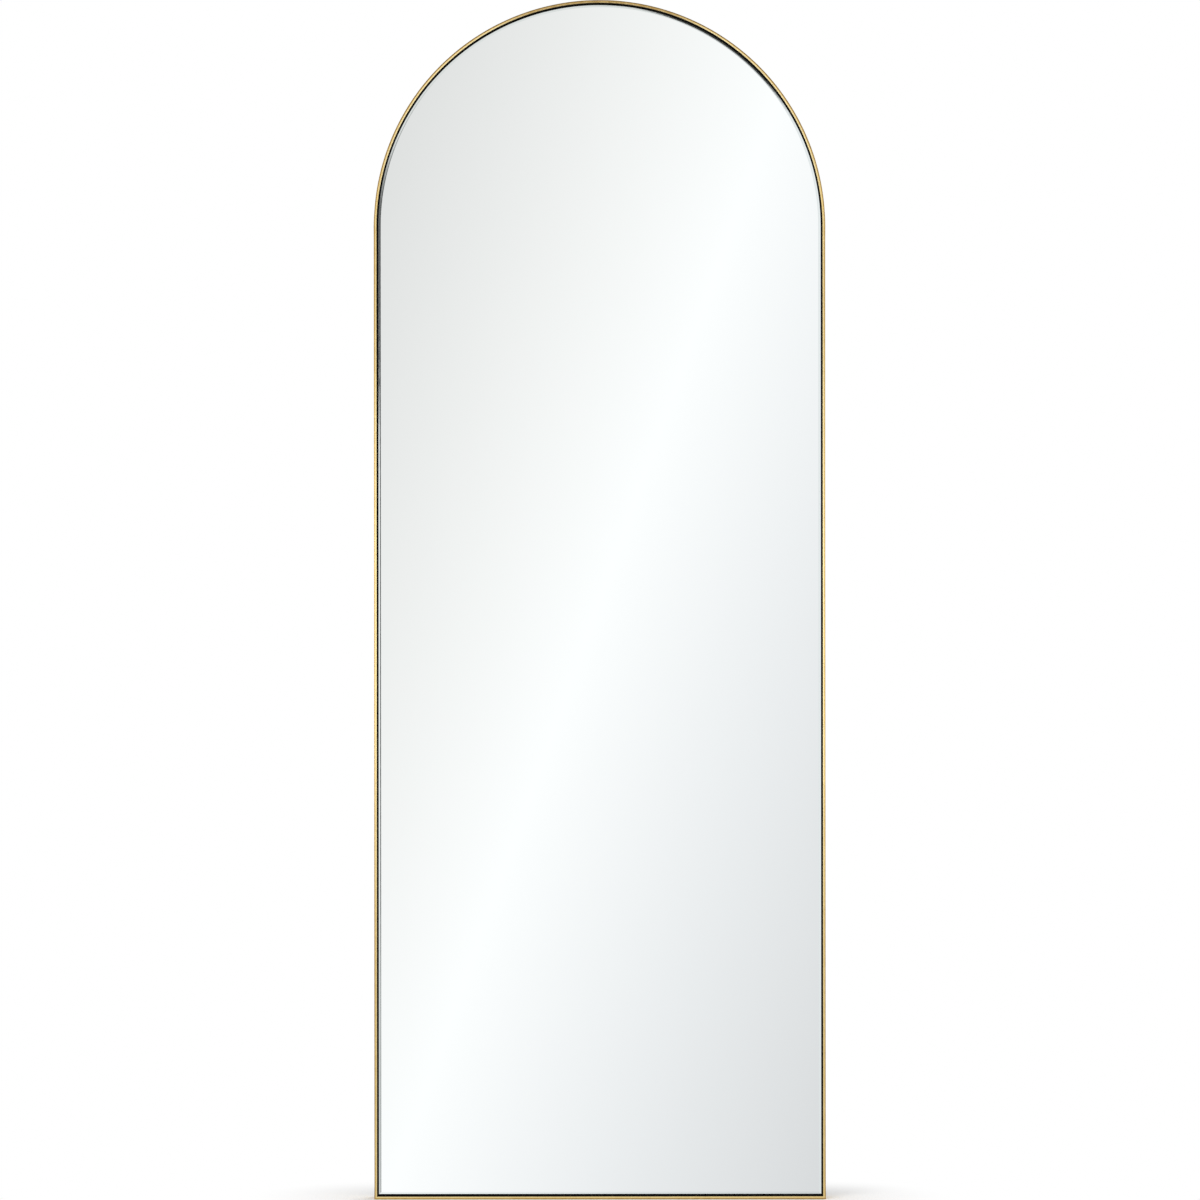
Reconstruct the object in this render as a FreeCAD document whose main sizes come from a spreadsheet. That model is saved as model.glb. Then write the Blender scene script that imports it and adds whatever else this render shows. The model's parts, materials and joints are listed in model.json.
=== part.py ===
import FreeCAD, Part
import os
import Sketcher
from collections import namedtuple
from math import acos, atan2, degrees, radians, sqrt

# Arched full-length mirror: a welded flat-bar frame on edge, a mirror glass set back inside it on a
# fibreboard back, lugs that hold the board, and strap hangers with D-rings for the wall.
# Millimetres. +Z is up, -Y is the front, and the origin is the middle of the bottom rail's underside.

# Driving dimensions
SIZES = {
    # frame
    "overall_width": 610,
    "overall_height": 1620,
    "face_width": 4,
    "front_edge_radius": 1.6,
    "bar_edge_radius": 0.5,
    # glass
    "glass_recess": 7,
    "glass_thickness": 5,
    "glass_gap": 2,
    "arris_width": 3.5,
    "arris_drop": 0.3,
    # tape between glass and board
    "tape_thickness": 1,
    "tape_width": 25,
    "tape_margin": 60,
    "tape_rise": 120,
    # backing board
    "board_thickness": 9,
    "board_gap": 0.3,
    "board_skin": 1.5,
    "rear_recess": 10,
    # lugs
    "lug_thickness": 3,
    "lug_width": 20,
    "lug_reach": 26,
    "lug_end_margin": 160,
    "bottom_lug_spacing": 300,
    # wood screws
    "shank_diameter": 3.2,
    "head_diameter": 8,
    "head_height": 2.6,
    "head_rim": 0.7,
    "tip_length": 2.4,
    "screw_clearance": 0.5,
    "pilot_clearance": 0.1,
    "pilot_end_gap": 0.5,
    # hangers
    "hanger_spacing": 406,
    "hanger_drop": 75,
    "strap_width": 14,
    "strap_thickness": 1.2,
    "strap_hole_pitch": 16,
    "strap_end_margin": 8,
    "strap_corner_radius": 5,
    "curl_mouth": 0.8,
    "ring_wire": 3.2,
    "ring_clearance": 0.3,
    "ring_side_clearance": 1.6,
    "ring_corner_radius": 3.4,
    "ring_screw_gap": 1.5,
    # wall bumpers
    "bumper_base": 20,
    "bumper_top": 16,
    "bumper_proud": 2,
    "bumper_recess_clearance": 1.4,
    "bumper_bore_clearance": 0.5,
    "bumper_edge_radius": 1,
    "bumper_inset": 60,
}

# The largest share of the bar's face that each edge radius may take
SOFT_SHARE = 0.6
EASED_SHARE = 0.3
# The largest share of the strap's width that its corner radius may take
CORNER_SHARE = 0.45

# How many of each repeated piece there are
STILE_LUGS = 3
ARCH_LUGS = 3
TAPE_STRIPS = 4
STRAP_SCREWS = 2

# Levels and places that several pieces share, as expressions of the driving dimensions
HALF_WIDTH = "(Sizes.overall_width / 2)"
HALF_DEPTH = ("((Sizes.glass_recess + Sizes.glass_thickness + Sizes.tape_thickness + Sizes.board_thickness"
              " + Sizes.rear_recess) / 2)")
SPRING = "(Sizes.overall_height - Sizes.overall_width / 2)"
WALL = "(Sizes.overall_width / 2 - Sizes.face_width)"
GLASS_BACK = f"(-{HALF_DEPTH} + Sizes.glass_recess + Sizes.glass_thickness)"
BOARD_FRONT = f"({GLASS_BACK} + Sizes.tape_thickness)"
BOARD_BACK = f"({BOARD_FRONT} + Sizes.board_thickness)"
PILOT_DEPTH = "(Sizes.board_thickness - Sizes.board_skin)"
SCREW_BITE = f"({PILOT_DEPTH} - Sizes.pilot_end_gap)"
SCREW_HOLE = "(Sizes.shank_diameter + 2 * Sizes.screw_clearance)"
LUG_HOLE_PLACE = f"({WALL} - Sizes.lug_reach + Sizes.lug_width / 2)"
CURL_RADIUS = "(Sizes.ring_wire / 2 + Sizes.ring_clearance)"
RING_AXIS = f"(Sizes.strap_thickness + {CURL_RADIUS})"
RING_HEIGHT = f"({SPRING} - Sizes.hanger_drop)"
RING_RADIUS = "(Sizes.strap_width / 2 + Sizes.ring_side_clearance + Sizes.ring_corner_radius)"
RING_REACH = f"(Sizes.ring_corner_radius + {RING_RADIUS} + Sizes.ring_wire / 2)"
FIRST_STRAP_SCREW = f"({RING_REACH} + Sizes.ring_screw_gap + Sizes.head_diameter / 2)"
STRAP_LENGTH = (f"({FIRST_STRAP_SCREW} + {STRAP_SCREWS - 1} * Sizes.strap_hole_pitch"
                " + Sizes.strap_end_margin)")
BUMPER_HEIGHT = "(Sizes.rear_recess + Sizes.bumper_proud)"
BUMPER_RECESS = "(Sizes.head_height + Sizes.bumper_recess_clearance)"
BUMPER_FLOOR = f"({BUMPER_HEIGHT} - {BUMPER_RECESS})"
BUMPER_BORE = "(Sizes.head_diameter + 2 * Sizes.bumper_bore_clearance)"
HANGER_SIDES = {"left": "-Sizes.hanger_spacing / 2", "right": "Sizes.hanger_spacing / 2"}

# Sketcher's numbers for the ends and centre of an element, and for the sketch's own axes and origin
START, END, CENTRE = range(1, 4)
V_AXIS, H_AXIS = range(-2, 0)
ORIGIN = (H_AXIS, START)

X_AXIS = FreeCAD.Vector(1, 0, 0)
Y_AXIS = FreeCAD.Vector(0, 1, 0)
Z_AXIS = FreeCAD.Vector(0, 0, 1)

# How near two places have to be to count as the same
NEAR = 0.01

# A seat is where a piece of the repeated fixings goes: a point of the XZ plane, and a turn about Y
Seat = namedtuple("Seat", "name x z turn curved")

doc = FreeCAD.newDocument("Mirror")
sheet = doc.addObject("Spreadsheet::Sheet", "Sizes")
for row, (alias, size) in enumerate(SIZES.items(), start=1):
    sheet.set(f"A{row}", alias)
    sheet.set(f"B{row}", str(size))
    sheet.setAlias(f"B{row}", alias)
doc.recompute()

nodes = []


def vector(x, y):
    return FreeCAD.Vector(x, y, 0)


def line(x0, y0, x1, y1):
    return Part.LineSegment(vector(x0, y0), vector(x1, y1))


def circle(x, y, radius):
    return Part.Circle(vector(x, y), Z_AXIS, radius)


def arc(x, y, radius, first, last):
    """An arc of a sketch, counter-clockwise between two angles in degrees."""
    return Part.ArcOfCircle(circle(x, y, radius), radians(first), radians(last))


def keep(piece, label):
    """Names a finished piece, and puts it on the list of those to write."""
    piece.Label = label
    nodes.append(piece)
    return piece


def place(piece, x=None, y=None, z=None, turn=0):
    """Puts a piece at expressions of the driving dimensions, turned about Y by degrees."""
    piece.Placement = FreeCAD.Placement(FreeCAD.Vector(), FreeCAD.Rotation(Y_AXIS, turn))
    for axis, expression in (("x", x), ("y", y), ("z", z)):
        if expression is not None:
            piece.setExpression(f"Placement.Base.{axis}", expression)
    return piece


def new_body(name):
    return doc.addObject("PartDesign::Body", name)


def new_sketch(body, name, plane):
    """A sketch on one of its body's own origin planes."""
    sketch = body.newObject("Sketcher::SketchObject", name)
    support = [feature for feature in body.Origin.OriginFeatures if feature.Role == plane]
    sketch.AttachmentSupport = (support[0], [""])
    sketch.MapMode = "FlatFace"
    return sketch


def value(expression):
    """What an expression of the driving dimensions gives now, in millimetres."""
    return float(sheet.evalExpression(expression))


def constrain(sketch, *rules):
    """Adds constraints to a sketch. One that ends in an expression is a size, bound to that expression."""
    for rule in rules:
        if isinstance(rule[-1], str):
            number = sketch.addConstraint(Sketcher.Constraint(*rule[:-1], value(rule[-1])))
            name = f"size_{number}"
            sketch.renameConstraint(number, name)
            sketch.setExpression(f"Constraints.{name}", rule[-1])
        else:
            sketch.addConstraint(Sketcher.Constraint(*rule))


def close(sketch, rule="Coincident"):
    """Joins the end of each line or arc of a sketch to the start of the next, and the last to the first."""
    count = sketch.GeometryCount
    for number in range(count):
        constrain(sketch, (rule, number, END, (number + 1) % count, START))


def pad(body, sketch, length):
    feature = body.newObject("PartDesign::Pad", "Pad")
    feature.Profile = sketch
    feature.setExpression("Length", length)
    doc.recompute()
    return feature


def pocket(body, sketch, symmetric=False):
    """Cuts a sketch right through the body, and makes sure that something was cut."""
    before = body.Shape.Volume
    feature = body.newObject("PartDesign::Pocket", "Pocket")
    feature.Profile = sketch
    feature.Type = "ThroughAll"
    if symmetric:
        feature.SideType = "Symmetric"
    doc.recompute()
    if not body.Shape.Volume < before:
        raise RuntimeError(f"{body.Name}: a pocket cut nothing")
    return feature


def revolve(body, sketch, angle=360, reverse=False):
    """Turns a sketch about its own vertical axis."""
    feature = body.newObject("PartDesign::Revolution", "Revolution")
    feature.Profile = sketch
    feature.ReferenceAxis = (sketch, ["V_Axis"])
    feature.Angle = angle
    feature.Reversed = reverse
    doc.recompute()
    return feature


def edges_where(feature, test):
    """The names of a feature's edges that pass a test."""
    return [f"Edge{number}" for number, edge in enumerate(feature.Shape.Edges, start=1) if test(edge)]


def compound(label, pieces):
    """A group of like solids in one node."""
    group = doc.addObject("Part::Compound", label)
    group.Links = pieces
    return keep(group, label)


def link_at(master, seat):
    """A copy of a fixing at a seat, placed in the seat's own frame."""
    link = doc.addObject("App::Link", f"{master.Name}_{seat.name}")
    link.LinkedObject = master
    link.LinkTransform = True
    return place(link, x=seat.x, z=seat.z, turn=seat.turn)


# Frame
def bar_section(body):
    """The bar on edge, in plan: the outer front edge is well rounded, and the others are just eased."""
    sketch = new_sketch(body, "Section", "XY_Plane")
    outer, inner, back = value(HALF_WIDTH), value(WALL), value(HALF_DEPTH)
    front = -back
    soft, eased = SIZES["front_edge_radius"], SIZES["bar_edge_radius"]
    sketch.addGeometry([
        line(inner + eased, front, outer - soft, front),
        arc(outer - soft, front + soft, soft, 270, 360),
        line(outer, front + soft, outer, back - eased),
        arc(outer - eased, back - eased, eased, 0, 90),
        line(outer - eased, back, inner + eased, back),
        arc(inner + eased, back - eased, eased, 90, 180),
        line(inner, back - eased, inner, front + eased),
        arc(inner + eased, front + eased, eased, 180, 270),
    ], False)
    (face, soft_arc, outside, first_eased,
     rear, second_eased, inside, last_eased) = range(sketch.GeometryCount)
    close(sketch, "Tangent")
    constrain(
        sketch,
        ("Horizontal", face), ("Horizontal", rear), ("Vertical", outside), ("Vertical", inside),
        ("Equal", first_eased, second_eased), ("Equal", first_eased, last_eased),
        ("Radius", soft_arc, f"min(Sizes.front_edge_radius; Sizes.face_width * {SOFT_SHARE})"),
        ("Radius", first_eased, f"min(Sizes.bar_edge_radius; Sizes.face_width * {EASED_SHARE})"),
        ("DistanceX", *ORIGIN, outside, START, HALF_WIDTH),
        ("DistanceX", inside, START, outside, START, "Sizes.face_width"),
        ("DistanceY", face, START, *ORIGIN, HALF_DEPTH),
        ("DistanceY", *ORIGIN, rear, START, HALF_DEPTH),
    )
    return sketch


def mitre(body, name, end, towards):
    """Cuts a bar's end at 45 degrees, so that its inner edge is the shorter one."""
    sketch = new_sketch(body, name, "XZ_Plane")
    outer, inner, height, width = value(HALF_WIDTH), value(WALL), value(end), SIZES["face_width"]
    tip = height + towards * width
    sketch.addGeometry([
        line(outer, height, inner, height),
        line(inner, height, inner, tip),
        line(inner, tip, outer, height),
    ], False)
    square, side, _ = range(sketch.GeometryCount)
    close(sketch)
    constrain(
        sketch,
        ("Horizontal", square), ("Vertical", side),
        ("DistanceX", *ORIGIN, square, START, HALF_WIDTH),
        ("DistanceX", square, END, square, START, "Sizes.face_width"),
        ("DistanceY", side, START, side, END, f"{towards} * Sizes.face_width"),
        ("DistanceY", *ORIGIN, square, START, end),
    )
    pocket(body, sketch, symmetric=True)


def make_frame():
    stile = new_body("RightStile")
    pad(stile, bar_section(stile), SPRING)
    mitre(stile, "BottomMitre", "0", 1)
    keep(stile, "frame_right_stile")

    mirrored = doc.addObject("Part::Mirroring", "LeftStile")
    mirrored.Source = stile
    mirrored.Normal = X_AXIS
    keep(mirrored, "frame_left_stile")

    arch = new_body("Arch")
    revolve(arch, bar_section(arch), angle=180, reverse=True)
    keep(place(arch, z=SPRING), "frame_arch")

    rail = new_body("BottomRail")
    pad(rail, bar_section(rail), "Sizes.overall_width")
    mitre(rail, "LeftMitre", "0", 1)
    mitre(rail, "RightMitre", "Sizes.overall_width", -1)
    keep(place(rail, x="-" + HALF_WIDTH, z=HALF_WIDTH, turn=90), "frame_bottom_rail")


# Glass, tape and board
def arched_sheet(body, gap, thickness):
    """A sheet with a half-round top that stands a gap away from the frame's inner wall."""
    sketch = new_sketch(body, "Outline", "XZ_Plane")
    half = f"({WALL} - {gap})"
    radius, spring, low = value(half), value(SPRING), value(f"Sizes.face_width + {gap}")
    sketch.addGeometry([
        line(-radius, low, radius, low),
        line(radius, low, radius, spring),
        arc(0, spring, radius, 0, 180),
        line(-radius, spring, -radius, low),
    ], False)
    base, right, top, left = range(sketch.GeometryCount)
    constrain(
        sketch,
        ("Coincident", base, END, right, START), ("Tangent", right, END, top, START),
        ("Tangent", top, END, left, START), ("Coincident", left, END, base, START),
        ("Horizontal", base), ("Vertical", right), ("Vertical", left),
        ("PointOnObject", top, CENTRE, V_AXIS),
        ("Radius", top, half),
        ("DistanceY", *ORIGIN, top, CENTRE, SPRING),
        ("DistanceY", *ORIGIN, base, START, f"Sizes.face_width + {gap}"),
    )
    return pad(body, sketch, thickness)


def make_glass():
    """The glass, with its front edge ground to a narrow arris."""
    glass = new_body("Glass")
    sheet_pad = arched_sheet(glass, "Sizes.glass_gap", "Sizes.glass_thickness")
    front = -SIZES["glass_thickness"]
    arris = glass.newObject("PartDesign::Chamfer", "Arris")
    rim = edges_where(sheet_pad, lambda edge: abs(edge.BoundBox.YMax - front) < NEAR)
    arris.Base = (sheet_pad, rim)
    arris.ChamferType = "Two distances"
    arris.setExpression("Size", "Sizes.arris_width")
    arris.setExpression("Size2", "Sizes.arris_drop")
    doc.recompute()
    keep(place(glass, y=GLASS_BACK), "mirror_glass")


def make_tape():
    """Upright strips of double-sided tape, evenly spaced across the glass."""
    strips = []
    for number in range(TAPE_STRIPS):
        strip = doc.addObject("Part::Box", f"TapeStrip{number + 1}")
        strip.setExpression("Length", "Sizes.tape_width")
        strip.setExpression("Width", "Sizes.tape_thickness")
        strip.setExpression("Height", f"{SPRING} + Sizes.tape_rise - Sizes.face_width - Sizes.tape_margin")
        share = (2 * number + 1) / TAPE_STRIPS - 1
        place(strip, x=f"{share} * ({WALL} - Sizes.glass_gap) - Sizes.tape_width / 2", y=GLASS_BACK,
              z="Sizes.face_width + Sizes.tape_margin")
        strips.append(strip)
    compound("mounting_tape", strips)


def make_board(pilots):
    """The board, with a blind pilot hole behind every screw."""
    blank = new_body("BoardBlank")
    arched_sheet(blank, "Sizes.board_gap", "Sizes.board_thickness")
    place(blank, y=BOARD_BACK)
    holes = doc.addObject("Part::Compound", "PilotHoles")
    holes.Links = pilots
    board = doc.addObject("Part::Cut", "Board")
    board.Base = blank
    board.Tool = holes
    keep(board, "backing_board")


# Fixings
def make_screw(name, x, under_head, grip):
    """A round-headed wood screw along Y, its head to the back, at a distance from the seat's origin."""
    screw = new_body(name)
    sketch = new_sketch(screw, "HalfSection", "XY_Plane")
    shank, head = SIZES["shank_diameter"] / 2, SIZES["head_diameter"] / 2
    height, rim, tip = SIZES["head_height"], SIZES["head_rim"], SIZES["tip_length"]
    length = value(f"{grip} + {SCREW_BITE}")
    rise = height - rim
    crown = (head ** 2 + rise ** 2) / (2 * rise)
    crown_start = degrees(atan2(crown - rise, head))
    sketch.addGeometry([
        line(0, height, 0, -length),
        line(0, -length, shank, tip - length),
        line(shank, tip - length, shank, 0),
        line(shank, 0, head, 0),
        line(head, 0, head, rim),
        arc(0, height - crown, crown, crown_start, 90),
    ], False)
    axis, point, side, seat, edge, dome = range(sketch.GeometryCount)
    close(sketch)
    constrain(
        sketch,
        ("PointOnObject", axis, START, V_AXIS), ("PointOnObject", axis, END, V_AXIS),
        ("PointOnObject", dome, CENTRE, V_AXIS),
        ("Vertical", side), ("Horizontal", seat), ("Vertical", edge),
        ("PointOnObject", seat, START, H_AXIS),
        ("DistanceX", *ORIGIN, side, END, "Sizes.shank_diameter / 2"),
        ("DistanceX", *ORIGIN, seat, END, "Sizes.head_diameter / 2"),
        ("DistanceY", *ORIGIN, edge, END, "Sizes.head_rim"),
        ("DistanceY", *ORIGIN, axis, START, "Sizes.head_height"),
        ("DistanceY", axis, END, *ORIGIN, f"{grip} + {SCREW_BITE}"),
        ("DistanceY", point, START, point, END, "Sizes.tip_length"),
    )
    revolve(screw, sketch)
    return place(screw, x=x, y=under_head)


def make_pilot(name, x):
    """The blind hole for a screw, from the board's back towards the front."""
    pilot = doc.addObject("Part::Cylinder", name)
    pilot.setExpression("Radius", "Sizes.shank_diameter / 2 + Sizes.pilot_clearance")
    pilot.setExpression("Height", PILOT_DEPTH)
    pilot.Placement = FreeCAD.Placement(FreeCAD.Vector(), FreeCAD.Rotation(X_AXIS, 90))
    pilot.setExpression("Placement.Base.x", x)
    pilot.setExpression("Placement.Base.y", BOARD_BACK)
    return pilot


def fasten(label, grip, under_head, seats, x="0"):
    """A set of like screws in one node, and the pilot holes that go with them."""
    master = make_screw(label.title().replace("_", "") + "Master", x, under_head, grip)
    hole = make_pilot(label.title().replace("_", "") + "Pilot", x)
    compound(label, [link_at(master, seat) for seat in seats])
    return [link_at(hole, seat) for seat in seats]


# Lugs
def lug_seats():
    """Where the lugs are: evenly up both stiles, round the arch, and two on the bottom rail."""
    seats = []
    for side, turn in (("right", 0), ("left", 180)):
        for number in range(STILE_LUGS):
            share = number / (STILE_LUGS - 1)
            height = f"Sizes.lug_end_margin + {share} * ({SPRING} - 2 * Sizes.lug_end_margin)"
            seats.append(Seat(f"{side}_{number + 1}", "0", height, turn, False))
    for number in range(ARCH_LUGS):
        angle = 180 * (number + 1) / (ARCH_LUGS + 1)
        seats.append(Seat(f"arch_{number + 1}", "0", SPRING, -angle, True))
    for side, sign in (("left", "-"), ("right", "")):
        middle = f"{sign}Sizes.bottom_lug_spacing / 2"
        seats.append(Seat(f"bottom_{side}", middle, HALF_WIDTH, 90, False))
    return seats


def make_lug(seat):
    """A flat lug, square or curved where it meets the wall, and round about its screw hole."""
    lug = new_body(f"Lug_{seat.name}")
    sketch = new_sketch(lug, "Outline", "XZ_Plane")
    wall, hole_place, radius = value(WALL), value(LUG_HOLE_PLACE), SIZES["lug_width"] / 2
    reach = sqrt(wall ** 2 - radius ** 2) if seat.curved else wall
    sketch.addGeometry([
        line(reach, radius, hole_place, radius),
        arc(hole_place, 0, radius, 90, 270),
        line(hole_place, -radius, reach, -radius),
        circle(hole_place, 0, value(SCREW_HOLE) / 2),
    ], False)
    top, nose, bottom, hole, foot = range(5)
    if seat.curved:
        sketch.addGeometry(Part.Arc(vector(reach, -radius), vector(wall, 0), vector(reach, radius)), False)
        constrain(sketch, ("Coincident", foot, CENTRE, *ORIGIN), ("Radius", foot, WALL))
    else:
        sketch.addGeometry(line(wall, -radius, wall, radius), False)
        constrain(sketch, ("Vertical", foot), ("DistanceX", *ORIGIN, foot, START, WALL))
    constrain(
        sketch,
        ("Tangent", top, END, nose, START), ("Tangent", nose, END, bottom, START),
        ("Coincident", bottom, END, foot, START), ("Coincident", foot, END, top, START),
        ("Horizontal", top), ("Horizontal", bottom),
        ("PointOnObject", nose, CENTRE, H_AXIS), ("Coincident", hole, CENTRE, nose, CENTRE),
        ("Radius", nose, "Sizes.lug_width / 2"),
        ("Diameter", hole, SCREW_HOLE),
        ("DistanceX", *ORIGIN, nose, CENTRE, LUG_HOLE_PLACE),
    )
    pad(lug, sketch, "Sizes.lug_thickness")
    keep(place(lug, x=seat.x, y=f"{BOARD_BACK} + Sizes.lug_thickness", z=seat.z, turn=seat.turn),
         f"lug_{seat.name}")


# Hangers
def make_strap(side, x):
    """A strap with its top end curled round the ring's bar, and two screw holes below the ring."""
    strap = new_body(f"Strap_{side}")
    sketch = new_sketch(strap, "Profile", "YZ_Plane")
    thickness, length = SIZES["strap_thickness"], value(STRAP_LENGTH)
    axis, bore = value(RING_AXIS), value(CURL_RADIUS)
    lip = degrees(acos((bore - SIZES["curl_mouth"]) / axis)) - 180
    outer = arc(axis, 0, axis, lip, 180)
    inner = arc(axis, 0, bore, lip, 180)
    sketch.addGeometry([
        line(0, -length, 0, 0),
        outer,
        Part.LineSegment(outer.StartPoint, inner.StartPoint),
        inner,
        line(thickness, 0, thickness, -length),
        line(thickness, -length, 0, -length),
    ], False)
    back, outside, end, inside, front, foot = range(sketch.GeometryCount)
    constrain(
        sketch,
        ("Tangent", back, END, outside, END), ("Coincident", outside, START, end, START),
        ("Coincident", end, END, inside, START), ("Tangent", inside, END, front, START),
        ("Coincident", front, END, foot, START), ("Coincident", foot, END, back, START),
        ("Coincident", outside, CENTRE, inside, CENTRE), ("PointOnObject", inside, CENTRE, H_AXIS),
        ("PointOnObject", inside, CENTRE, end),
        ("Vertical", back), ("Vertical", front), ("Horizontal", foot),
        ("PointOnObject", back, START, V_AXIS),
        ("Radius", inside, CURL_RADIUS),
        ("DistanceX", *ORIGIN, front, START, "Sizes.strap_thickness"),
        ("DistanceY", back, START, *ORIGIN, STRAP_LENGTH),
        ("DistanceX", front, START, end, START, "Sizes.curl_mouth"),
    )
    blank = pad(strap, sketch, "Sizes.strap_width")
    blank.SideType = "Symmetric"
    doc.recompute()

    holes = new_sketch(strap, "Holes", "XZ_Plane")
    for number in range(STRAP_SCREWS):
        depth = f"{FIRST_STRAP_SCREW} + {number} * Sizes.strap_hole_pitch"
        holes.addGeometry(circle(0, -value(depth), value(SCREW_HOLE) / 2), False)
        constrain(
            holes,
            ("PointOnObject", number, CENTRE, V_AXIS),
            ("Diameter", number, SCREW_HOLE),
            ("DistanceY", number, CENTRE, *ORIGIN, depth),
        )
    drilled = pocket(strap, holes)

    corners = strap.newObject("PartDesign::Fillet", "Corners")
    corners.Base = (drilled, edges_where(
        drilled, lambda edge: edge.BoundBox.ZMax < NEAR - length and edge.BoundBox.XLength < NEAR))
    corners.setExpression("Radius", f"min(Sizes.strap_corner_radius; Sizes.strap_width * {CORNER_SHARE})")
    doc.recompute()
    keep(place(strap, x=x, y=BOARD_BACK, z=RING_HEIGHT), f"hanger_strap_{side}")


def make_ring(side, x):
    """A D-ring of round wire that hangs from its straight bar."""
    ring = new_body(f"Ring_{side}")
    path = new_sketch(ring, "Path", "XZ_Plane")
    corner, half = SIZES["ring_corner_radius"], value(RING_RADIUS)
    bar = half - corner
    path.addGeometry([
        line(0, 0, -bar, 0),
        arc(-bar, -corner, corner, 90, 180),
        arc(0, -corner, half, 180, 360),
        arc(bar, -corner, corner, 0, 90),
        line(bar, 0, 0, 0),
    ], False)
    left_bar, left_corner, bow, right_corner, right_bar = range(path.GeometryCount)
    constrain(
        path,
        ("Coincident", right_bar, END, left_bar, START), ("Coincident", left_bar, START, *ORIGIN),
        ("Tangent", left_bar, END, left_corner, START), ("Tangent", left_corner, END, bow, START),
        ("Tangent", bow, END, right_corner, START), ("Tangent", right_corner, END, right_bar, START),
        ("Horizontal", left_bar), ("Horizontal", right_bar),
        ("PointOnObject", bow, CENTRE, V_AXIS), ("Equal", left_corner, right_corner),
        ("Radius", left_corner, "Sizes.ring_corner_radius"),
        ("Radius", bow, RING_RADIUS),
        ("DistanceY", bow, CENTRE, *ORIGIN, "Sizes.ring_corner_radius"),
    )
    section = new_sketch(ring, "Wire", "YZ_Plane")
    section.addGeometry(circle(0, 0, SIZES["ring_wire"] / 2), False)
    constrain(section, ("Coincident", 0, CENTRE, *ORIGIN), ("Diameter", 0, "Sizes.ring_wire"))
    doc.recompute()
    pipe = ring.newObject("PartDesign::AdditivePipe", "Pipe")
    pipe.Profile = section
    pipe.Spine = (path, [f"Edge{number + 1}" for number in range(path.GeometryCount)])
    doc.recompute()
    keep(place(ring, x=x, y=f"{BOARD_BACK} + {RING_AXIS}", z=RING_HEIGHT), f"hanger_ring_{side}")


def strap_screw_seats():
    seats = []
    for side, x in HANGER_SIDES.items():
        for number in range(STRAP_SCREWS):
            z = f"{RING_HEIGHT} - {FIRST_STRAP_SCREW} - {number} * Sizes.strap_hole_pitch"
            seats.append(Seat(f"{side}_{number + 1}", x, z, 0, False))
    return seats


# Wall bumpers
def bumper_seats():
    """One bumper near each bottom corner, and one near each end of the spring line."""
    seats = []
    for level, z in (("lower", "Sizes.face_width + Sizes.bumper_inset"), ("upper", SPRING)):
        for side, sign in (("left", "-"), ("right", "")):
            x = f"{sign}({WALL} - Sizes.bumper_inset)"
            seats.append(Seat(f"{level}_{side}", x, z, 0, False))
    return seats


def make_bumper(seat):
    """A tapered rubber foot with a recess for its screw."""
    bumper = new_body(f"Bumper_{seat.name}")
    sketch = new_sketch(bumper, "HalfSection", "XY_Plane")
    base, top = SIZES["bumper_base"] / 2, SIZES["bumper_top"] / 2
    bore, hole = value(BUMPER_BORE) / 2, value(SCREW_HOLE) / 2
    height, floor = value(BUMPER_HEIGHT), value(BUMPER_FLOOR)
    corners = [(hole, 0), (base, 0), (top, height), (bore, height), (bore, floor), (hole, floor)]
    for number, corner in enumerate(corners):
        sketch.addGeometry(line(*corner, *corners[(number + 1) % len(corners)]), False)
    seat_line, _, rim, recess, ledge, shank = range(sketch.GeometryCount)
    close(sketch)
    constrain(
        sketch,
        ("PointOnObject", seat_line, START, H_AXIS),
        ("Horizontal", seat_line), ("Horizontal", rim), ("Horizontal", ledge),
        ("Vertical", recess), ("Vertical", shank),
        ("DistanceX", *ORIGIN, seat_line, START, f"{SCREW_HOLE} / 2"),
        ("DistanceX", *ORIGIN, seat_line, END, "Sizes.bumper_base / 2"),
        ("DistanceX", *ORIGIN, rim, START, "Sizes.bumper_top / 2"),
        ("DistanceX", *ORIGIN, rim, END, f"{BUMPER_BORE} / 2"),
        ("DistanceY", *ORIGIN, rim, START, BUMPER_HEIGHT),
        ("DistanceY", *ORIGIN, ledge, START, BUMPER_FLOOR),
    )
    turned = revolve(bumper, sketch)
    rounded = bumper.newObject("PartDesign::Fillet", "SoftRim")
    rounded.Base = (turned, edges_where(
        turned, lambda edge: edge.BoundBox.YMin > height - NEAR and edge.BoundBox.XLength > 2 * top - NEAR))
    rounded.setExpression("Radius", "Sizes.bumper_edge_radius")
    doc.recompute()
    keep(place(bumper, x=seat.x, y=BOARD_BACK, z=seat.z), f"wall_bumper_{seat.name}")


make_frame()
make_glass()
make_tape()
for lug_seat in lug_seats():
    make_lug(lug_seat)
for hanger_side, hanger_x in HANGER_SIDES.items():
    make_strap(hanger_side, hanger_x)
    make_ring(hanger_side, hanger_x)
for bumper_seat in bumper_seats():
    make_bumper(bumper_seat)
pilot_holes = fasten("lug_screws", "Sizes.lug_thickness", f"{BOARD_BACK} + Sizes.lug_thickness",
                     lug_seats(), x=LUG_HOLE_PLACE)
pilot_holes += fasten("hanger_screws", "Sizes.strap_thickness", f"{BOARD_BACK} + Sizes.strap_thickness",
                      strap_screw_seats())
pilot_holes += fasten("bumper_screws", BUMPER_FLOOR, f"{BOARD_BACK} + {BUMPER_FLOOR}", bumper_seats())
make_board(pilot_holes)
doc.recompute()

failed = [item.Name for item in doc.Objects if "Invalid" in item.State or "Error" in item.State]
if failed:
    raise RuntimeError(f"failed objects: {failed}")
for node in nodes:
    if node.Shape.isNull() or not node.Shape.isValid() or not node.Shape.Solids:
        raise RuntimeError(f"{node.Label}: bad shape")

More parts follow.
